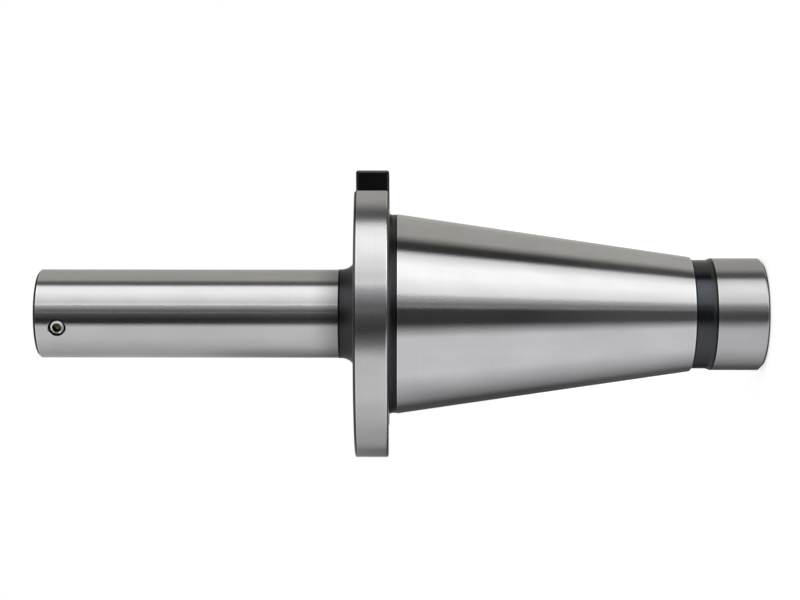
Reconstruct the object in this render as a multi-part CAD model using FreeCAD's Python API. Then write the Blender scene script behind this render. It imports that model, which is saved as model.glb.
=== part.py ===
import FreeCAD, Part
import math
import os

# Boring head arbor with a steep taper shank, in mm.
# The axis is Z, the nose points to +Z and Z = 0 is the gauge plane of the taper.
# The drive slots face +X and -X, and the clamp screw faces -Y.

# Taper shank
GAUGE_DIAMETER = 69.85
TAPER = 7 / 24
TAPER_LENGTH = 101.8
TAPER_END_CHAMFER = 0.4

# Undercut between the taper and the flange
UNDERCUT_WIDTH = 2.8
UNDERCUT_DEPTH = 0.3
UNDERCUT_RADIUS = 1.0

# Drive flange
FLANGE_OFFSET = 3.0
FLANGE_THICKNESS = 11.6
FLANGE_DIAMETER = 100.0
FLANGE_EDGE_RADIUS = 0.9

# Drive slots
SLOT_COUNT = 2
SLOT_WIDTH = 25.7
SLOT_FLOOR = 35.3
SLOT_EDGE_CHAMFER = 0.8
SLOT_CORNER_RADIUS = 1.2

# Nose shank
NOSE_LENGTH = 124.8
NOSE_DIAMETER = 31.0
NOSE_END_CHAMFER = 0.9
GRINDING_ALLOWANCE = 0.05
GROUND_END = 5.9
NOSE_FILLET = 5.0

# Tail: groove, pilot and end face
TAIL_GROOVE_DIAMETER = 38.1
TAIL_GROOVE_WIDTH = 5.5
TAIL_SHOULDER_LENGTH = 1.8
PILOT_DIAMETER = 39.25
PILOT_LENGTH = 17.7
PILOT_END_CHAMFER = 1.5

# Drawbar hole in the tail
DRAWBAR_DIAMETER = 24.0
DRAWBAR_THREAD_LENGTH = 47.0
DRAWBAR_DRILL_DIAMETER = 21.0
DRAWBAR_DRILL_DEPTH = 61.5
DRAWBAR_COUNTERSINK_DIAMETER = 29.0
COUNTERSINK_ANGLE = 60.0
DRILL_POINT_ANGLE = 118.0

# Socket for the boring head in the nose
SOCKET_DIAMETER = 16.0
SOCKET_DEPTH = 24.0
SOCKET_MOUTH_CHAMFER = 0.6
SOCKET_DRILL_DIAMETER = 12.0
PIN_GROOVE_COUNT = 2
PIN_GROOVE_DIAMETER = 5.0
PIN_GROOVE_CENTRE = 8.5
PIN_GROOVE_DEPTH = 20.0

# Clamp screw and its hole
SCREW_DIAMETER = 6.0
SCREW_CLEARANCE = 0.05
SCREW_FROM_NOSE = 8.2
SCREW_LENGTH = 7.0
SCREW_RECESS = 0.35
SCREW_TIP_LENGTH = 2.2
SCREW_TIP_FLAT = 1.0
SCREW_END_CHAMFER = 0.55
SCREW_HOLE_CHAMFER = 0.25
HEX_ACROSS_FLATS = 3.0
HEX_DEPTH = 3.2

# Places along the axis
FLANGE_TAIL_Z = FLANGE_OFFSET
FLANGE_NOSE_Z = FLANGE_TAIL_Z + FLANGE_THICKNESS
TAPER_START_Z = FLANGE_TAIL_Z - UNDERCUT_WIDTH
TAPER_END_Z = -TAPER_LENGTH
GROOVE_END_Z = TAPER_END_Z - TAIL_GROOVE_WIDTH
PILOT_START_Z = GROOVE_END_Z - TAIL_SHOULDER_LENGTH
TAIL_Z = PILOT_START_Z - PILOT_LENGTH
NOSE_Z = NOSE_LENGTH
SCREW_Z = NOSE_Z - SCREW_FROM_NOSE

OVERRUN = 5.0


def taper_radius(z):
    """Radius of the taper at height z."""
    return (GAUGE_DIAMETER + z * TAPER) / 2


def point(radius, z):
    """Point of a turned profile, in the XZ plane."""
    return FreeCAD.Vector(radius, 0, z)


def rounded_corner(before, corner, after, radius):
    """Start, middle and end of the arc that rounds a corner between two straight lines."""
    to_before = (before - corner).normalize()
    to_after = (after - corner).normalize()
    half_angle = to_before.getAngle(to_after) / 2
    tangent = radius / math.tan(half_angle)
    inward = (to_before + to_after).normalize()
    middle = corner + inward * (radius / math.sin(half_angle) - radius)
    return corner + to_before * tangent, middle, corner + to_after * tangent


def outline(corners, place=point):
    """Closed wire through (a, b) or (a, b, rounding) corners, laid out in space by place."""
    points = [place(corner[0], corner[1]) for corner in corners]
    bends = []
    for i, corner in enumerate(corners):
        if len(corner) == 3:
            after = points[(i + 1) % len(points)]
            bends.append(rounded_corner(points[i - 1], points[i], after, corner[2]))
        else:
            bends.append([points[i]])
    edges = []
    for i, bend in enumerate(bends):
        edges.append(Part.LineSegment(bends[i - 1][-1], bend[0]).toShape())
        if len(bend) == 3:
            edges.append(Part.Arc(*bend).toShape())
    return Part.Wire(edges)


def turned(corners):
    """Solid of revolution about Z, from (radius, z) corners."""
    section = Part.Face(outline(corners))
    return section.revolve(FreeCAD.Vector(0, 0, 0), FreeCAD.Vector(0, 0, 1), 360)


def around_axis(shape, count):
    """Copies of a shape, evenly spaced about Z."""
    copies = []
    for i in range(count):
        copy = shape.copy()
        copy.rotate(FreeCAD.Vector(0, 0, 0), FreeCAD.Vector(0, 0, 1), 360 * i / count)
        copies.append(copy)
    return copies


def cone_length(radius, angle):
    """Height of a cone of this base radius and full point angle."""
    return radius / math.tan(math.radians(angle / 2))


def turned_blank():
    """The whole outside of the arbor, as it leaves the lathe and the grinder."""
    pilot = PILOT_DIAMETER / 2
    groove = TAIL_GROOVE_DIAMETER / 2
    undercut = GAUGE_DIAMETER / 2 - UNDERCUT_DEPTH
    flange = FLANGE_DIAMETER / 2
    nose = NOSE_DIAMETER / 2
    neck = nose + GRINDING_ALLOWANCE
    ground_z = FLANGE_NOSE_Z + GROUND_END
    return turned([
        (0, TAIL_Z),
        (pilot - PILOT_END_CHAMFER, TAIL_Z),
        (pilot, TAIL_Z + PILOT_END_CHAMFER),
        (pilot, PILOT_START_Z),
        (groove, GROOVE_END_Z),
        (groove, TAPER_END_Z),
        (taper_radius(TAPER_END_Z) - TAPER_END_CHAMFER, TAPER_END_Z),
        (taper_radius(TAPER_END_Z + TAPER_END_CHAMFER), TAPER_END_Z + TAPER_END_CHAMFER),
        (taper_radius(TAPER_START_Z), TAPER_START_Z),
        (undercut, TAPER_START_Z),
        (undercut, FLANGE_TAIL_Z, UNDERCUT_RADIUS),
        (flange, FLANGE_TAIL_Z, FLANGE_EDGE_RADIUS),
        (flange, FLANGE_NOSE_Z, FLANGE_EDGE_RADIUS),
        (neck, FLANGE_NOSE_Z, NOSE_FILLET),
        (neck, ground_z),
        (nose, ground_z + GRINDING_ALLOWANCE),
        (nose, NOSE_Z - NOSE_END_CHAMFER),
        (nose - NOSE_END_CHAMFER, NOSE_Z),
        (0, NOSE_Z),
    ])


def slot_section(z, widening):
    """Plan of a drive slot at height z, with its walls flared where they meet the rim on +X."""
    floor = SLOT_FLOOR - widening
    half = SLOT_WIDTH / 2 + widening
    rounding = SLOT_CORNER_RADIUS + widening
    rim = math.sqrt((FLANGE_DIAMETER / 2) ** 2 - (SLOT_WIDTH / 2) ** 2)
    flare = rim - SLOT_EDGE_CHAMFER
    spread = SLOT_EDGE_CHAMFER + OVERRUN
    corners = [
        (floor, half, rounding),
        (floor, -half, rounding),
        (flare, -half),
        (flare + spread, -half - spread),
        (flare + spread, half + spread),
        (flare, half),
    ]
    return outline(corners, lambda x, y: FreeCAD.Vector(x, y, z))


def slot_mouth(face_z, outward):
    """Chamfer round a drive slot on the flange's face at face_z."""
    inner = slot_section(face_z - outward * SLOT_EDGE_CHAMFER, 0)
    outer = slot_section(face_z + outward * SLOT_EDGE_CHAMFER, 2 * SLOT_EDGE_CHAMFER)
    return Part.makeLoft([inner, outer], True, True)


def drive_slot():
    """Cutter for one drive slot, with a flat floor and eased edges."""
    channel = Part.Face(slot_section(FLANGE_TAIL_Z, 0)).extrude(FreeCAD.Vector(0, 0, FLANGE_THICKNESS))
    return channel.fuse([slot_mouth(FLANGE_TAIL_Z, -1), slot_mouth(FLANGE_NOSE_Z, 1)])


def drawbar_hole():
    """Threaded hole in the tail at its full thread diameter, on a deeper tapping drill."""
    thread = DRAWBAR_DIAMETER / 2
    drill = DRAWBAR_DRILL_DIAMETER / 2
    mouth = DRAWBAR_COUNTERSINK_DIAMETER / 2
    thread_z = TAIL_Z + DRAWBAR_THREAD_LENGTH
    drill_z = TAIL_Z + DRAWBAR_DRILL_DEPTH
    return turned([
        (0, TAIL_Z),
        (mouth, TAIL_Z),
        (thread, TAIL_Z + cone_length(mouth - thread, COUNTERSINK_ANGLE)),
        (thread, thread_z),
        (drill, thread_z + (thread - drill)),
        (drill, drill_z),
        (0, drill_z + cone_length(drill, DRILL_POINT_ANGLE)),
    ])


def head_socket():
    """Cutter for the ground socket in the nose, with its two grooves for the drive pin."""
    socket = SOCKET_DIAMETER / 2
    drill = SOCKET_DRILL_DIAMETER / 2
    bottom_z = NOSE_Z - SOCKET_DEPTH
    bore = turned([
        (0, bottom_z - cone_length(drill, DRILL_POINT_ANGLE)),
        (drill, bottom_z),
        (socket, bottom_z),
        (socket, NOSE_Z - SOCKET_MOUTH_CHAMFER),
        (socket + SOCKET_MOUTH_CHAMFER, NOSE_Z),
        (0, NOSE_Z),
    ])
    base = FreeCAD.Vector(PIN_GROOVE_CENTRE, 0, NOSE_Z - PIN_GROOVE_DEPTH)
    groove = Part.makeCylinder(PIN_GROOVE_DIAMETER / 2, PIN_GROOVE_DEPTH, base)
    return bore.fuse(around_axis(groove, PIN_GROOVE_COUNT))


def facing_screw_side(shape):
    """A shape made along Z from the axis outward, laid along -Y at the screw's height."""
    shape.rotate(FreeCAD.Vector(0, 0, 0), FreeCAD.Vector(1, 0, 0), 90)
    shape.translate(FreeCAD.Vector(0, 0, SCREW_Z))
    return shape


def screw_hole():
    """Cutter for the clamp screw's radial hole, eased at the shank's surface."""
    radius = SCREW_DIAMETER / 2
    surface = NOSE_DIAMETER / 2
    return facing_screw_side(turned([
        (0, 0),
        (radius, 0),
        (radius, surface - SCREW_HOLE_CHAMFER),
        (radius + SCREW_HOLE_CHAMFER + OVERRUN, surface + OVERRUN),
        (0, surface + OVERRUN),
    ]))


def hex_prism(across_flats, length, base_z):
    """Hexagonal prism about Z, with two corners on Y."""
    radius = across_flats / math.sqrt(3)
    angles = [math.radians(60 * i + 30) for i in range(6)]
    section = outline([(radius * math.cos(a), radius * math.sin(a)) for a in angles],
                      lambda x, y: FreeCAD.Vector(x, y, base_z))
    return Part.Face(section).extrude(FreeCAD.Vector(0, 0, length))


def clamp_screw():
    """Hexagon socket set screw with a cone point, just below the shank's surface."""
    radius = SCREW_DIAMETER / 2 - SCREW_CLEARANCE
    outer = NOSE_DIAMETER / 2 - SCREW_RECESS
    inner = outer - SCREW_LENGTH
    blank = turned([
        (0, inner),
        (SCREW_TIP_FLAT / 2, inner),
        (radius, inner + SCREW_TIP_LENGTH),
        (radius, outer - SCREW_END_CHAMFER),
        (radius - SCREW_END_CHAMFER, outer),
        (0, outer),
    ])
    hex_bottom = outer - HEX_DEPTH
    hexagon = hex_prism(HEX_ACROSS_FLATS, HEX_DEPTH, hex_bottom)
    drill = HEX_ACROSS_FLATS / 2
    drill_point = turned([
        (0, hex_bottom - cone_length(drill, DRILL_POINT_ANGLE)),
        (drill, hex_bottom),
        (0, hex_bottom),
    ])
    return facing_screw_side(blank.cut([hexagon, drill_point]))


def arbor_body():
    """The arbor itself, one piece of steel."""
    cutters = around_axis(drive_slot(), SLOT_COUNT)
    cutters += [drawbar_hole(), head_socket(), screw_hole()]
    return turned_blank().cut(cutters)


def save(name, shape):
    """Write one piece, after checking that it is one sound solid."""
    if len(shape.Solids) != 1 or not shape.isValid():
        raise ValueError(f"{name} is not one valid solid")
    solid = shape.Solids[0]
    solid.exportStep(f"parts/{name}.step")
    print(name, f"{solid.Volume / 1000:.2f} cm3")


os.makedirs("parts", exist_ok=True)
save("arbor_body", arbor_body())
save("clamp_screw", clamp_screw())
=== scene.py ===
import math

import bmesh
import bpy
from mathutils import Matrix, Vector


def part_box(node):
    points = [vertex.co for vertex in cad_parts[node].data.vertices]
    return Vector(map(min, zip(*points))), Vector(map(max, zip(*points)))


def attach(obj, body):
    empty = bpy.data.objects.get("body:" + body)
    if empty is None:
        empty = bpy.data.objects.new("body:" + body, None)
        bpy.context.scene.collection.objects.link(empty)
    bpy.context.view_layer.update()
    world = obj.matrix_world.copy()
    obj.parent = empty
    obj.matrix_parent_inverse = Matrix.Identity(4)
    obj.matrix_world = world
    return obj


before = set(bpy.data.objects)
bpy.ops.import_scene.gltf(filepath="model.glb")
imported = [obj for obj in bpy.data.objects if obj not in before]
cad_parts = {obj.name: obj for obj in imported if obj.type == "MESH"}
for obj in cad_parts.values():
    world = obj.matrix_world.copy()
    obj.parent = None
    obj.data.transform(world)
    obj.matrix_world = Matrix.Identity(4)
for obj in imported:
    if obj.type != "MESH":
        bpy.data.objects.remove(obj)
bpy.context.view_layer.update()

# Places on the arbor, in metres. Z runs along the axis from the gauge plane of the taper.
BODY_LOW, BODY_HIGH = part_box("arbor_body")
TAIL_Z = BODY_LOW.z
NOSE_Z = BODY_HIGH.z
FLANGE_TAIL_Z = 0.0030
FLANGE_NOSE_Z = 0.0146
FLANGE_EDGE_RADIUS = 0.0009
SLOT_HALF_WIDTH = 0.01285
SLOT_FLOOR = 0.0353
SLOT_CHAMFER = 0.0008
SLOT_RIM_HALF_WIDTH = 0.01348
TAPER_START_Z = 0.0002
TAPER_END_Z = -0.1018
TAPER_END_CHAMFER = 0.0004
GROOVE_END_Z = -0.1073
PILOT_START_Z = -0.1091
PILOT_END_CHAMFER = 0.0015
PILOT_RADIUS = 0.019625
NOSE_END_CHAMFER = 0.0009
GROUND_NOSE_Z = 0.02055
SOCKET_RADIUS = 0.0080
SOCKET_BOTTOM_Z = NOSE_Z - 0.024
SCREW_Z = NOSE_Z - 0.0082
SCREW_OUTER_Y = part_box("clamp_screw")[0].y

# Drawbar thread, M24 with a pitch of 3 mm
THREAD_RADIUS = 0.012
THREAD_SINK = 0.00002
THREAD_PITCH = 0.003
THREAD_CREST_RADIUS = 0.010376
THREAD_HEIGHT = THREAD_RADIUS - THREAD_CREST_RADIUS
THREAD_BASE_SHARE = 7 / 16
THREAD_CREST_SHARE = 1 / 8
THREAD_START_DEPTH = 0.0045
THREAD_END_DEPTH = 0.0455
THREAD_FADE = 0.002
THREAD_STEPS_PER_TURN = 72
COUNTERSINK_RADIUS = 0.0145
COUNTERSINK_HALF_ANGLE = math.radians(30)

# The photograph's view: the nose points left and the camera looks square at the axis
CAMERA_AZIMUTH = math.radians(18.5)
CAMERA_ROLL = math.radians(0.07)
CAMERA_DISTANCE = 0.65
CAMERA_RISE = 0.0048
CAMERA_HEIGHT = -0.0008
PIXELS_PER_METRE = 2860
FRAME_WIDTH_PIXELS = 800
SENSOR_WIDTH_MM = 36.0

towards_camera = Vector((math.sin(CAMERA_AZIMUTH), -math.cos(CAMERA_AZIMUTH), 0))
image_up = Vector((math.cos(CAMERA_AZIMUTH), math.sin(CAMERA_AZIMUTH), 0))
image_right = Vector((0, 0, -1))

# Studio tent: a tall ring of soft cards round the arbor
TENT_RADIUS = 1.8
TENT_HALF_HEIGHT = 4.0
TENT_SIDES = 96

# Its cards: each starts at an angle from the camera towards image up and runs to the next one,
# as (angle, blur of that edge, brightness, tint)
NEUTRAL = (1.0, 1.0, 1.0)
WARM = (1.04, 1.01, 0.95)
COOL = (0.99, 0.985, 1.025)
UPPER_CARDS = [
    (-180, 0, 1.20, NEUTRAL),  # back light
    (-166, 8, 0.48, NEUTRAL),  # back wall
    (-95, 60, 0.75, NEUTRAL),  # fill from below
    (-29, 10, 0.03, NEUTRAL),  # black flag round the camera, lower half
    (-7, 14, 0.12, NEUTRAL),  # upper half
    (2, 2, 0.30, COOL),  # slit in the flag
    (4, 2, 0.15, COOL),
    (14, 12, 0.55, COOL),  # grey border of the key light
    (22, 2, 1.25, NEUTRAL),  # bright frame of the key light
    (25, 2, 0.85, NEUTRAL),  # key light, near half
    (42, 28, 1.40, NEUTRAL),  # key light, far half
    (76, 8, 0.15, NEUTRAL),  # black flag beside the key light
    (93, 10, 0.48, WARM),  # warm wall above
    (166, 8, 1.20, NEUTRAL),  # back light
]
LOWER_CARDS = [
    (-180, 0, 1.20, NEUTRAL),  # back light
    (-166, 8, 0.08, NEUTRAL),  # black flag beside the back light
    (-105, 60, 0.87, COOL),  # fill from below
    (-20, 16, 0.05, NEUTRAL),  # black flag round the camera
    (8.5, 1, 0.90, COOL),  # slit in the flag
    (9.5, 1, 0.20, COOL),
    (16, 9, 0.65, COOL),  # grey border of the key light
    (22, 2, 1.15, NEUTRAL),  # key light, near edge
    (35, 22, 1.60, NEUTRAL),  # key light, middle
    (67, 16, 1.00, NEUTRAL),  # key light, far edge
    (77, 4, 0.04, NEUTRAL),  # black flag beside the key light
    (98, 14, 0.50, WARM),  # warm wall above
    (166, 8, 1.20, NEUTRAL),  # back light
]

# The lower cards pass into the upper ones between these heights, and higher up behind the arbor
TENT_LOWER_Z = -0.33
TENT_UPPER_Z = 0.0
TENT_BEHIND_ANGLE = -128
TENT_BEHIND_BLUR = 24
TENT_BEHIND_RISE = 0.25

FLOOR_RADIUS = 1.7
FLOOR_SEGMENTS = 128
FLOOR_GAP = 0.0001
FLOOR_COLOUR = (0.8, 0.8, 0.8)
FLOOR_GLOW = 0.6


def make_camera():
    """Camera at the photograph's place, turned so that the arbor lies across the frame."""
    data = bpy.data.cameras.new("camera")
    data.sensor_width = SENSOR_WIDTH_MM
    data.lens = SENSOR_WIDTH_MM * PIXELS_PER_METRE * CAMERA_DISTANCE / FRAME_WIDTH_PIXELS
    camera = bpy.data.objects.new("camera", data)
    place = towards_camera * CAMERA_DISTANCE + image_up * CAMERA_RISE + Vector((0, 0, CAMERA_HEIGHT))
    turn = Matrix((image_right, image_up, towards_camera)).transposed().to_4x4()
    camera.matrix_world = Matrix.Translation(place) @ turn @ Matrix.Rotation(CAMERA_ROLL, 4, "Z")
    bpy.context.scene.collection.objects.link(camera)
    bpy.context.scene.camera = camera


def card_levels(cards):
    """Levels round a full turn, as (angle, level, tint), with a soft step from each card to the next."""
    _, _, level, tint = cards[0]
    levels = [(-180, level, tint)]
    for angle, blur, next_level, next_tint in cards[1:]:
        levels.append((angle - blur / 2, level, tint))
        levels.append((angle + blur / 2, next_level, next_tint))
        level, tint = next_level, next_tint
    return levels + [(180, level, tint)]


def level_ramp(finish, turn, levels, brightest):
    """Colour round a full turn, from (angle, level, tint), as shares of the brightest level."""
    ramp = finish.nodes.new("ShaderNodeValToRGB")
    finish.links.new(turn, ramp.inputs["Fac"])
    elements = ramp.color_ramp.elements
    elements.remove(elements[1])
    for i, (degrees, level, tint) in enumerate(levels):
        position = (degrees + 180) / 360
        element = elements[0] if i == 0 else elements.new(position)
        element.position = position
        element.color = [part * level / brightest for part in tint] + [1]
    return ramp.outputs["Color"]


class Finish:
    """A node material, with short names for the sums that its masks are made of."""

    def __init__(self, name):
        self.material = bpy.data.materials.new(name)
        self.material.use_nodes = True
        self.nodes = self.material.node_tree.nodes
        self.links = self.material.node_tree.links
        self.shader = self.nodes["Principled BSDF"]
        self.output = self.nodes["Material Output"]

    def feed(self, socket, value):
        """Give a socket a plain value or another node's output."""
        if isinstance(value, bpy.types.NodeSocket):
            self.links.new(value, socket)
        else:
            socket.default_value = value

    def math(self, operation, *values):
        """Result of a sum on one or more values."""
        node = self.nodes.new("ShaderNodeMath")
        node.operation = operation
        for socket, value in zip(node.inputs, values):
            self.feed(socket, value)
        return node.outputs["Value"]

    def place(self):
        """Position on the object, in metres, and its X, Y and Z."""
        node = self.nodes.new("ShaderNodeTexCoord")
        split = self.nodes.new("ShaderNodeSeparateXYZ")
        self.links.new(node.outputs["Object"], split.inputs["Vector"])
        return node.outputs["Object"], *split.outputs

    def turn(self, place):
        """Angle of a place round Z, from 0 at -180 degrees to 1 at 180."""
        node = self.nodes.new("ShaderNodeTexGradient")
        node.gradient_type = "RADIAL"
        self.links.new(place, node.inputs["Vector"])
        return node.outputs["Fac"]

    def distance(self, a, b):
        """Length of the flat vector (a, b)."""
        return self.math("SQRT", self.math("ADD", self.math("MULTIPLY", a, a), self.math("MULTIPLY", b, b)))

    def above(self, value, edge, blur):
        """1 where the value is over the edge and 0 under it, with a smooth step between."""
        node = self.nodes.new("ShaderNodeMapRange")
        node.interpolation_type = "SMOOTHSTEP"
        self.feed(node.inputs["Value"], value)
        node.inputs["From Min"].default_value = edge - blur / 2
        node.inputs["From Max"].default_value = edge + blur / 2
        return node.outputs["Result"]

    def below(self, value, edge, blur):
        """1 where the value is under the edge and 0 over it."""
        return self.math("SUBTRACT", 1, self.above(value, edge, blur))

    def between(self, value, low, high, blur):
        """1 where the value lies between low and high."""
        return self.math("SUBTRACT", self.above(value, low, blur), self.above(value, high, blur))

    def both(self, *masks):
        """Product of masks."""
        result = masks[0]
        for mask in masks[1:]:
            result = self.math("MULTIPLY", result, mask)
        return result

    def either(self, *masks):
        """Largest of masks."""
        result = masks[0]
        for mask in masks[1:]:
            result = self.math("MAXIMUM", result, mask)
        return result

    def spread(self, value, low, high):
        """Scales a value that runs from 0 to 1 so that it runs from low to high."""
        node = self.nodes.new("ShaderNodeMapRange")
        self.feed(node.inputs["Value"], value)
        node.inputs["To Min"].default_value = low
        node.inputs["To Max"].default_value = high
        return node.outputs["Result"]

    def vary(self, value, contrast):
        """Scales a value that runs from 0 to 1 so that it runs as far under 1 as over it."""
        return self.spread(value, 1 - contrast, 1 + contrast)

    def vector(self, x, y, z):
        """Vector of three values."""
        node = self.nodes.new("ShaderNodeCombineXYZ")
        for socket, value in zip(node.inputs, (x, y, z)):
            self.feed(socket, value)
        return node.outputs["Vector"]

    def noise(self, place, scale, detail):
        """Smooth random pattern from 0 to 1, with finer ones laid over it by the detail."""
        node = self.nodes.new("ShaderNodeTexNoise")
        self.links.new(place, node.inputs["Vector"])
        node.inputs["Scale"].default_value = scale
        node.inputs["Detail"].default_value = detail
        return node.outputs["Fac"]

    def blend(self, mask, below, above):
        """Colour that goes from one to another as the mask goes from 0 to 1."""
        node = self.nodes.new("ShaderNodeMix")
        node.data_type = "RGBA"
        self.feed(node.inputs["Factor"], mask)
        self.feed(node.inputs["A"], below)
        self.feed(node.inputs["B"], above)
        return node.outputs["Result"]

    def pick(self, mask, below, above):
        """Number that goes from one to another as the mask goes from 0 to 1."""
        node = self.nodes.new("ShaderNodeMix")
        self.feed(node.inputs["Factor"], mask)
        self.feed(node.inputs["A"], below)
        self.feed(node.inputs["B"], above)
        return node.outputs["Result"]

    def shade(self, colour, factor):
        """Colour times a number."""
        node = self.nodes.new("ShaderNodeVectorMath")
        node.operation = "SCALE"
        self.feed(node.inputs["Vector"], colour)
        self.feed(node.inputs["Scale"], factor)
        return node.outputs["Vector"]

    def vector_math(self, operation, *values):
        """Result of a sum on one or more vectors."""
        node = self.nodes.new("ShaderNodeVectorMath")
        node.operation = operation
        for socket, value in zip(node.inputs, values):
            self.feed(socket, value)
        return node.outputs["Vector"]

    def bump(self, height, depth, normal=None):
        """Relief of the given depth, in metres, on the surface or on another direction of it."""
        node = self.nodes.new("ShaderNodeBump")
        node.inputs["Distance"].default_value = depth
        self.links.new(height, node.inputs["Height"])
        if normal:
            self.links.new(normal, node.inputs["Normal"])
        self.links.new(node.outputs["Normal"], self.shader.inputs["Normal"])


# How far the ground surfaces stay from the edges beside them, and how far the zone of the nose's
# end face reaches into the steel and out of it
RIM_TAIL_INSET = 0.00044
RIM_NOSE_INSET = 0.00087
PILOT_TAIL_INSET = 0.0006
NOSE_FACE_DEPTH = 0.00004
PAST_NOSE = 0.001

# Ground surfaces, as (lowest z, highest z, smallest radius, largest radius)
TAPER_ZONE = (TAPER_END_Z + TAPER_END_CHAMFER, TAPER_START_Z, 0.0192, 0.0360)
RIM_ZONE = (FLANGE_TAIL_Z + RIM_TAIL_INSET, FLANGE_NOSE_Z - RIM_NOSE_INSET, 0.0495, 0.0510)
SHANK_ZONE = (GROUND_NOSE_Z, NOSE_Z - NOSE_END_CHAMFER, 0.0153, 0.0160)
PILOT_ZONE = (TAIL_Z + PILOT_TAIL_INSET, PILOT_START_Z, 0.0186, 0.0200)
NOSE_FACE_ZONE = (NOSE_Z - NOSE_FACE_DEPTH, NOSE_Z + PAST_NOSE, 0, 0.0160)
SOCKET_ZONE = (SOCKET_BOTTOM_Z, NOSE_Z, 0.0079, 0.0082)

# Black oxide, the groove's bluer than the rest
OXIDE_COLOUR = (0.080, 0.082, 0.086)
OXIDE_ROUGHNESS = 0.42
OXIDE_CLOUD_CONTRAST = 0.15
GROOVE_COLOUR = (0.076, 0.082, 0.091)
GROOVE_ZONE = (GROOVE_END_Z, TAPER_END_Z, 0.0185, 0.0205)

# Where its shade or roughness differs: groove, neck, undercut and the flange's two rounded edges,
# which are lighter as a painted highlight, as (zone as above, shade, roughness)
OXIDE_ZONES = [
    (GROOVE_ZONE, 0.8, 0.22),
    ((FLANGE_NOSE_Z, GROUND_NOSE_Z, 0.0153, 0.0210), 1.0, 0.50),
    ((TAPER_START_Z, FLANGE_TAIL_Z, 0.0340, 0.0360), 1.0, 0.50),
    ((FLANGE_NOSE_Z - FLANGE_EDGE_RADIUS, FLANGE_NOSE_Z, 0.0480, 0.0510), 1.2, OXIDE_ROUGHNESS),
    ((FLANGE_TAIL_Z, FLANGE_TAIL_Z + FLANGE_EDGE_RADIUS, 0.0480, 0.0510), 1.2, OXIDE_ROUGHNESS),
]

# Dark seams beside the ground surfaces, as (lowest z, highest z), but not inside the end sockets
SEAM_SHADE = 0.35
SEAM_INNER_RADIUS = SOCKET_RADIUS + 0.006
SEAM_WIDTH = 0.0007
TAPER_START_SEAM_WIDTH = 0.00035
TAPER_END_SEAM_WIDTH = 0.0003
SEAMS = [
    (TAPER_START_Z, TAPER_START_Z + TAPER_START_SEAM_WIDTH),
    (TAPER_END_Z - TAPER_END_SEAM_WIDTH, TAPER_END_Z + TAPER_END_CHAMFER),
    (PILOT_START_Z, PILOT_START_Z + SEAM_WIDTH),
    (GROUND_NOSE_Z - SEAM_WIDTH, GROUND_NOSE_Z),
    (NOSE_Z - NOSE_END_CHAMFER, NOSE_Z - NOSE_FACE_DEPTH),
]

# Painted highlights along the ends of the ground surfaces, as (lowest z, highest z)
HIGHLIGHT_GAIN = 1.17
RIM_HIGHLIGHT_WIDTH = 0.00035
HIGHLIGHT_WIDTH = 0.0004
HIGHLIGHT_LINES = [
    (RIM_ZONE[0], RIM_ZONE[0] + RIM_HIGHLIGHT_WIDTH),
    (RIM_ZONE[1] - RIM_HIGHLIGHT_WIDTH, RIM_ZONE[1]),
    (TAPER_START_Z - HIGHLIGHT_WIDTH, TAPER_START_Z),
    (TAPER_ZONE[0], TAPER_ZONE[0] + HIGHLIGHT_WIDTH),
    (PILOT_START_Z - HIGHLIGHT_WIDTH, PILOT_START_Z),
    (SHANK_ZONE[1] - HIGHLIGHT_WIDTH, SHANK_ZONE[1]),
]

# Painted shade in the drive slots: how dark the walls and floor are, then their chamfers on the flange's
# tail and nose side
SLOT_PAINTED_SHADES = (0.15, 0.40, 0.25)

# Painted shade on the shank: how dark it is, and where it ends, beside the neck and along one side
NECK_PAINTED_SHADE = 0.50
NECK_SHADE_MIDDLE_Z = 0.0245
NECK_SHADE_BLUR = 0.013
SIDE_PAINTED_SHADE = 0.62
SIDE_SHADE_MIDDLE_Z = 0.062
SIDE_SHADE_BLUR = 0.036
SIDE_SHADE_TURN = 0.81
SIDE_SHADE_TURN_BLUR = 0.24

# Ground steel, and how far its marks, clouds and wiping marks lighten and darken it
GROUND_COLOUR = (0.60, 0.60, 0.60)
GROUND_ROUGHNESS = 0.15
RIM_ROUGHNESS = 0.22
# The pilot's steel is darker, a painted shade
PILOT_PAINTED_SHADE = 0.82
PILOT_ROUGHNESS = 0.24
MARKS_CONTRAST = 0.025
CLOUD_CONTRAST = 0.03
WIPE_CONTRAST = 0.12

# Random patterns, the first two as (features per metre across the axis, along it, detail),
# the others as (features per metre, detail)
MARKS_PATTERN = (12, 1500, 6)
WIPES_PATTERN = (110, 40, 3)
CLOUD_PATTERN = (140, 4)
GRAIN_PATTERN = (2000, 2)

# Relief of the steel: its depth, and how far the grain outweighs the marks in it
RELIEF_DEPTH = 0.0000015
GRAIN_WEIGHT = 10

# How strongly highlights stretch across the grinding marks, and the turn that points them so
ANISOTROPY = 0.92
ANISOTROPY_TURN = 0.25

# Blur between neighbouring finishes, in metres
ZONE_BLUR = 0.00006

# Thin haze of oil that dulls the steel towards the tail
HAZE_START_Z = -0.040
HAZE_FULL_Z = -0.085
HAZE_SHARE = 0.10


def zone_mask(finish, z, radius, zone):
    """1 inside a zone, which is (lowest z, highest z, smallest radius, largest radius)."""
    low, high, inner, outer = zone
    return finish.both(
        finish.between(z, low, high, ZONE_BLUR), finish.between(radius, inner, outer, ZONE_BLUR))


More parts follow.
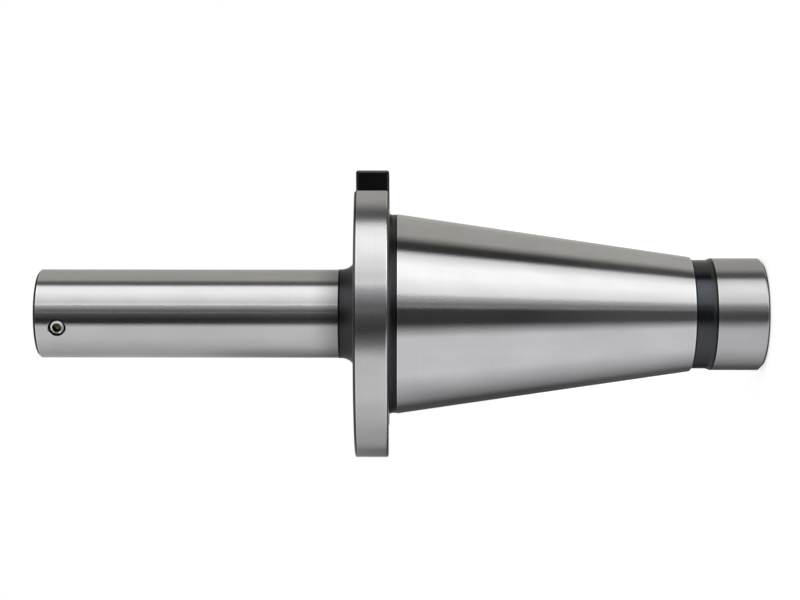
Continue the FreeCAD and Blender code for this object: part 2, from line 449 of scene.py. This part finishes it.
def slot_masks(finish, x, y, z):
    """Masks of the drive slots' walls and floor, and of their chamfers on the flange's two faces."""
    wide = finish.math("ABSOLUTE", y)
    out = finish.above(finish.math("ABSOLUTE", x), SLOT_FLOOR - SLOT_CHAMFER, ZONE_BLUR)
    inside = finish.both(out, finish.below(wide, SLOT_HALF_WIDTH + ZONE_BLUR, ZONE_BLUR))
    near = finish.both(out, finish.below(wide, SLOT_HALF_WIDTH + SLOT_CHAMFER, ZONE_BLUR))
    tail_side = finish.both(near, finish.between(z, FLANGE_TAIL_Z, FLANGE_TAIL_Z + SLOT_CHAMFER, ZONE_BLUR))
    nose_side = finish.both(near, finish.between(z, FLANGE_NOSE_Z - SLOT_CHAMFER, FLANGE_NOSE_Z, ZONE_BLUR))
    walls = finish.both(
        inside, finish.between(z, FLANGE_TAIL_Z + SLOT_CHAMFER, FLANGE_NOSE_Z - SLOT_CHAMFER, ZONE_BLUR))
    return walls, tail_side, nose_side


def oxide_look(finish, cloud, x, y, z, radius):
    """Colour and roughness of the black oxide, with painted shade in the drive slots and a painted
    highlight on the flange's rounded edges.
    """
    shade = 1.0
    roughness = OXIDE_ROUGHNESS
    for zone, zone_shade, zone_roughness in OXIDE_ZONES:
        mask = zone_mask(finish, z, radius, zone)
        shade = finish.pick(mask, shade, zone_shade)
        roughness = finish.pick(mask, roughness, zone_roughness)
    # The drive slots are darkened with painted shade
    for mask, slot_painted_shade in zip(slot_masks(finish, x, y, z), SLOT_PAINTED_SHADES):
        shade = finish.pick(mask, shade, slot_painted_shade)
    seam = finish.either(*[finish.between(z, low, high, ZONE_BLUR) for low, high in SEAMS])
    outside = finish.above(radius, SEAM_INNER_RADIUS, ZONE_BLUR)
    shade = finish.both(shade, finish.pick(finish.both(seam, outside), 1.0, SEAM_SHADE))
    base = finish.blend(zone_mask(finish, z, radius, GROOVE_ZONE), (*OXIDE_COLOUR, 1), (*GROOVE_COLOUR, 1))
    colour = finish.shade(base, finish.both(shade, finish.vary(cloud, OXIDE_CLOUD_CONTRAST)))
    return colour, roughness


def shank_painted_shade(finish, x, y, z, radius):
    """Painted shade on the shank, beside the neck and along one side."""
    shank = finish.above(z, GROUND_NOSE_Z, ZONE_BLUR)
    up = finish.math("ADD", finish.math("MULTIPLY", x, image_up.x), finish.math("MULTIPLY", y, image_up.y))
    down = finish.math("DIVIDE", finish.math("MULTIPLY", up, -1), radius)
    side = finish.above(down, SIDE_SHADE_TURN, SIDE_SHADE_TURN_BLUR)
    neck_shade = finish.both(shank, finish.below(z, NECK_SHADE_MIDDLE_Z, NECK_SHADE_BLUR))
    side_shade = finish.both(shank, side, finish.below(z, SIDE_SHADE_MIDDLE_Z, SIDE_SHADE_BLUR))
    return finish.both(
        finish.spread(neck_shade, 1, NECK_PAINTED_SHADE), finish.spread(side_shade, 1, SIDE_PAINTED_SHADE))


def ground_look(finish, cloud, wipes, marks, painted_shade, rim, pilot, z):
    """Colour and roughness of the ground steel, with painted highlights at the ends of its surfaces and
    painted shade on the shank and the pilot.
    """
    # Painted highlights along the ends of the ground surfaces lighten the steel there
    painted_light = finish.either(*[finish.between(z, low, high, ZONE_BLUR) for low, high in HIGHLIGHT_LINES])
    shade = finish.both(
        finish.vary(marks, MARKS_CONTRAST),
        finish.vary(cloud, CLOUD_CONTRAST),
        finish.vary(wipes, WIPE_CONTRAST),
        painted_shade,
        finish.spread(painted_light, 1.0, HIGHLIGHT_GAIN),
        finish.spread(pilot, 1.0, PILOT_PAINTED_SHADE))
    colour = finish.shade(GROUND_COLOUR, shade)
    roughness = finish.pick(rim, GROUND_ROUGHNESS, RIM_ROUGHNESS)
    return colour, finish.pick(pilot, roughness, PILOT_ROUGHNESS)


def rounded_normal(finish, place, z, radius):
    """Surface direction that turns gently over the pilot's end chamfer, as its edge, rounded by wear, does.
    """
    sideways = finish.vector(1, 1, 0)
    outward = finish.vector_math("NORMALIZE", finish.vector_math("MULTIPLY", place, sideways))
    turned = finish.above(z, TAIL_Z + PILOT_END_CHAMFER / 2, PILOT_END_CHAMFER)
    amount = finish.both(turned, finish.above(radius, PILOT_RADIUS - PILOT_END_CHAMFER, ZONE_BLUR),
                         finish.between(z, TAIL_Z, TAIL_Z + PILOT_END_CHAMFER, ZONE_BLUR))
    geometry = finish.nodes.new("ShaderNodeNewGeometry")
    return finish.vector_math("NORMALIZE", finish.blend(amount, geometry.outputs["Normal"], outward))


def streaks(finish, x, y, z, across, along, detail):
    """Random pattern whose size differs across and along the axis."""
    place = finish.vector(
        finish.math("MULTIPLY", x, across),
        finish.math("MULTIPLY", y, across),
        finish.math("MULTIPLY", z, along))
    return finish.noise(place, 1, detail)


def arbor_finish():
    """Fine ground steel on the fitting surfaces, with black oxide left on everything else."""
    finish = Finish("arbor_steel")
    place, x, y, z = finish.place()
    radius = finish.distance(x, y)
    beside_slot = finish.above(finish.math("ABSOLUTE", y), SLOT_RIM_HALF_WIDTH, ZONE_BLUR)
    rim = finish.both(zone_mask(finish, z, radius, RIM_ZONE), beside_slot)
    pilot = zone_mask(finish, z, radius, PILOT_ZONE)
    plain_zones = [TAPER_ZONE, SHANK_ZONE, NOSE_FACE_ZONE, SOCKET_ZONE]
    ground = finish.either(rim, pilot, *[zone_mask(finish, z, radius, zone) for zone in plain_zones])

    # Grinding marks run round the axis, on faces square to it too
    along = finish.math("ADD", z, radius)
    marks = streaks(finish, x, y, along, *MARKS_PATTERN)
    cloud = finish.noise(place, *CLOUD_PATTERN)
    wipes = streaks(finish, x, y, z, *WIPES_PATTERN)
    grain = finish.noise(place, *GRAIN_PATTERN)

    oxide_colour, oxide_roughness = oxide_look(finish, cloud, x, y, z, radius)
    # Painted shade on the shank, darker beside the neck and along one side
    painted_shade = shank_painted_shade(finish, x, y, z, radius)
    ground_colour, ground_roughness = ground_look(finish, cloud, wipes, marks, painted_shade, rim, pilot, z)
    finish.feed(finish.shader.inputs["Base Color"], finish.blend(ground, oxide_colour, ground_colour))
    finish.feed(finish.shader.inputs["Roughness"], finish.pick(ground, oxide_roughness, ground_roughness))

    clear = finish.above(z, (HAZE_START_Z + HAZE_FULL_Z) / 2, HAZE_START_Z - HAZE_FULL_Z)
    finish.feed(finish.shader.inputs["Metallic"], finish.pick(clear, 1 - HAZE_SHARE, 1))
    finish.shader.inputs["Anisotropic"].default_value = ANISOTROPY
    finish.shader.inputs["Anisotropic Rotation"].default_value = ANISOTROPY_TURN
    tangent = finish.nodes.new("ShaderNodeTangent")
    tangent.direction_type = "RADIAL"
    tangent.axis = "Z"
    finish.links.new(tangent.outputs["Tangent"], finish.shader.inputs["Tangent"])
    relief = finish.math("ADD", marks, finish.math("MULTIPLY", grain, GRAIN_WEIGHT))
    finish.bump(relief, RELIEF_DEPTH, rounded_normal(finish, place, z, radius))
    return finish.material


# Ring round the clamp screw's socket: bright steel whose reflection is painted in, bright but for a nick
# and two dull stretches of painted shade, as (angle from image right, blur of that edge, share of light
# thrown back, tint)
SCREW_RING_REFLECTION = [
    (-180, 0, 0.85, NEUTRAL),
    (-145, 5, 0.05, NEUTRAL),  # nick
    (-135, 5, 0.85, NEUTRAL),
    (-119, 8, 0.25, NEUTRAL),  # dull stretch, painted shade of the reflection
    (-71, 6, 0.95, NEUTRAL),
    (-48, 8, 0.40, NEUTRAL),  # dull stretch, painted shade of the reflection
    (25, 50, 0.85, NEUTRAL),
]

# The ring lies on the screw's outer face, a little off its middle so that the dark oxide beside it is wider
# on one side as a painted shadow, and reaches this deep
RING_INNER_RADIUS = 0.0016
RING_OUTER_RADIUS = 0.00225
RING_SHADOW_OFFSET = 0.00015
RING_DEPTH = 0.00005
RING_BLUR = 0.00008
RING_DEPTH_BLUR = 0.00004

# The screw's oxide, and the oily film in its socket
SCREW_COLOUR = (0.030, 0.030, 0.022)
SCREW_CLOUD_CONTRAST = 0.4
SCREW_ROUGHNESS = 0.25
OILED_COLOUR = (0.30, 0.29, 0.17)
OILED_CLOUD_CONTRAST = 0.7
SCREW_CLOUD_PATTERN = (900, 4)
SCREW_RELIEF_DEPTH = 0.000002


def screw_finish():
    """Oiled black oxide, with the flat ring round the socket bright steel whose reflection is painted in
    patches, and a painted shadow beside the ring on one side.
    """
    finish = Finish("screw_steel")
    place, x, y, z = finish.place()
    height = finish.math("SUBTRACT", z, SCREW_Z)
    from_axis = finish.distance(x, height)
    from_centre = finish.distance(
        finish.math("SUBTRACT", x, RING_SHADOW_OFFSET), finish.math("ADD", height, RING_SHADOW_OFFSET))
    pocket = finish.both(
        finish.below(from_axis, RING_INNER_RADIUS, RING_BLUR),
        finish.above(y, SCREW_OUTER_Y, RING_DEPTH_BLUR))
    ring = finish.both(
        finish.above(from_axis, RING_INNER_RADIUS, RING_BLUR),
        finish.below(from_centre, RING_OUTER_RADIUS, RING_BLUR),
        finish.below(y, SCREW_OUTER_Y + RING_DEPTH, RING_DEPTH_BLUR))
    turn = finish.turn(finish.vector(finish.math("MULTIPLY", height, -1), x, 0))
    # Painted reflection on the ring, bright and dull round its turn
    painted_light = level_ramp(finish, turn, card_levels(SCREW_RING_REFLECTION), 1)
    cloud = finish.noise(place, *SCREW_CLOUD_PATTERN)
    oxide = finish.shade(SCREW_COLOUR, finish.vary(cloud, SCREW_CLOUD_CONTRAST))
    oiled = finish.shade(OILED_COLOUR, finish.vary(cloud, OILED_CLOUD_CONTRAST))
    dark = finish.blend(pocket, oxide, oiled)
    finish.feed(finish.shader.inputs["Base Color"], finish.blend(ring, dark, painted_light))
    finish.shader.inputs["Roughness"].default_value = SCREW_ROUGHNESS
    finish.shader.inputs["Metallic"].default_value = 1
    finish.bump(cloud, SCREW_RELIEF_DEPTH)
    return finish.material


def tent_brightest():
    """Brightness that the cards' colours are shares of."""
    return max(level * max(tint) for _, _, level, tint in UPPER_CARDS + LOWER_CARDS)


def tent_finish():
    """Glow of the tent: cards round the vertical axis, in other strengths low down."""
    finish = Finish("studio_tent")
    finish.nodes.remove(finish.shader)
    place, _, _, height = finish.place()
    turn = finish.turn(place)
    brightest = tent_brightest()
    upper = level_ramp(finish, turn, card_levels(UPPER_CARDS), brightest)
    lower = level_ramp(finish, turn, card_levels(LOWER_CARDS), brightest)
    beside = finish.above(turn, (TENT_BEHIND_ANGLE + 180) / 360, TENT_BEHIND_BLUR / 360)
    rise = finish.pick(beside, TENT_BEHIND_RISE, 0)
    middle = (TENT_UPPER_Z + TENT_LOWER_Z) / 2
    raised = finish.above(finish.math("SUBTRACT", height, rise), middle, TENT_UPPER_Z - TENT_LOWER_Z)
    glow = finish.nodes.new("ShaderNodeEmission")
    finish.feed(glow.inputs["Color"], finish.blend(raised, lower, upper))
    glow.inputs["Strength"].default_value = brightest
    finish.links.new(glow.outputs["Emission"], finish.output.inputs["Surface"])
    return finish.material


def mesh_object(name, form, material):
    """Object made from a bmesh, which is freed."""
    mesh = bpy.data.meshes.new(name)
    form.to_mesh(mesh)
    form.free()
    mesh.materials.append(material)
    made = bpy.data.objects.new(name, mesh)
    bpy.context.scene.collection.objects.link(made)
    return made


def ridge_section(depth, turn_angle):
    """Corners of the thread's ridge, in the plane through the axis at this angle of its turn."""
    bored = COUNTERSINK_RADIUS - depth * math.tan(COUNTERSINK_HALF_ANGLE)
    fading = THREAD_RADIUS - (THREAD_END_DEPTH - depth) * THREAD_HEIGHT / THREAD_FADE
    crest = min(max(THREAD_CREST_RADIUS, bored, fading), THREAD_RADIUS)
    rise = (THREAD_RADIUS - crest) / THREAD_HEIGHT
    base_half = THREAD_PITCH * THREAD_BASE_SHARE
    crest_half = base_half + rise * THREAD_PITCH * (THREAD_CREST_SHARE - THREAD_BASE_SHARE)
    base = THREAD_RADIUS + THREAD_SINK
    corners = [(base, -base_half), (crest, -crest_half), (crest, crest_half), (base, base_half)]
    return [
        Vector((radius * math.cos(turn_angle), radius * math.sin(turn_angle), TAIL_Z + depth + offset))
        for radius, offset in corners
    ]


def make_thread(material):
    """Right-hand thread of the drawbar hole, as one closed ridge round its wall."""
    form = bmesh.new()
    steps = round((THREAD_END_DEPTH - THREAD_START_DEPTH) / THREAD_PITCH * THREAD_STEPS_PER_TURN)
    sections = []
    for i in range(steps + 1):
        turns = i / THREAD_STEPS_PER_TURN
        depth = THREAD_START_DEPTH + turns * THREAD_PITCH
        sections.append([form.verts.new(corner) for corner in ridge_section(depth, turns * math.tau)])
    for before, after in zip(sections, sections[1:]):
        for i in range(4):
            form.faces.new((before[i - 1], before[i], after[i], after[i - 1]))
    form.faces.new(sections[0])
    form.faces.new(reversed(sections[-1]))
    bmesh.ops.recalc_face_normals(form, faces=form.faces)
    ridge = mesh_object("drawbar_thread_ridge", form, material)
    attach(ridge, "arbor")


def make_tent():
    """The ring that the steel mirrors. The camera looks past it."""
    form = bmesh.new()
    bmesh.ops.create_cone(form, segments=TENT_SIDES, radius1=TENT_RADIUS, radius2=TENT_RADIUS,
                          depth=2 * TENT_HALF_HEIGHT)
    tent = mesh_object("studio_tent", form, tent_finish())
    tent.rotation_euler.z = math.atan2(towards_camera.y, towards_camera.x)
    tent.visible_camera = False


def floor_finish():
    """Matt white, plain white to the camera outside the shadow, and clear from underneath."""
    finish = Finish("floor_white")
    finish.shader.inputs["Base Color"].default_value = (*FLOOR_COLOUR, 1)
    finish.shader.inputs["Roughness"].default_value = 1
    finish.shader.inputs["Specular IOR Level"].default_value = 0
    finish.shader.inputs["Emission Color"].default_value = (1, 1, 1, 1)
    rays = finish.nodes.new("ShaderNodeLightPath")
    finish.feed(finish.shader.inputs["Emission Strength"],
                finish.math("MULTIPLY", rays.outputs["Is Camera Ray"], FLOOR_GLOW))
    surface = finish.nodes.new("ShaderNodeNewGeometry")
    finish.feed(finish.shader.inputs["Alpha"], finish.math("SUBTRACT", 1, surface.outputs["Backfacing"]))
    return finish.material


def make_floor():
    """Pale floor under the tail. The steel mirrors the tent in its place."""
    form = bmesh.new()
    bmesh.ops.create_circle(form, cap_ends=True, segments=FLOOR_SEGMENTS, radius=FLOOR_RADIUS)
    floor = mesh_object("floor", form, floor_finish())
    floor.location.z = TAIL_Z - FLOOR_GAP
    floor.visible_glossy = False


def make_world():
    """Plain white surroundings."""
    world = bpy.data.worlds.new("world")
    world.use_nodes = True
    world.node_tree.nodes["Background"].inputs["Color"].default_value = (1, 1, 1, 1)
    bpy.context.scene.world = world


def dress(node, material):
    """Give a CAD node its finish."""
    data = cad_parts[node].data
    data.materials.clear()
    data.materials.append(material)


make_camera()
make_tent()
make_floor()
make_world()
arbor_steel = arbor_finish()
screw_steel = screw_finish()
dress("arbor_body", arbor_steel)
dress("clamp_screw", screw_steel)
make_thread(arbor_steel)

bpy.context.scene.view_settings.view_transform = "Standard"
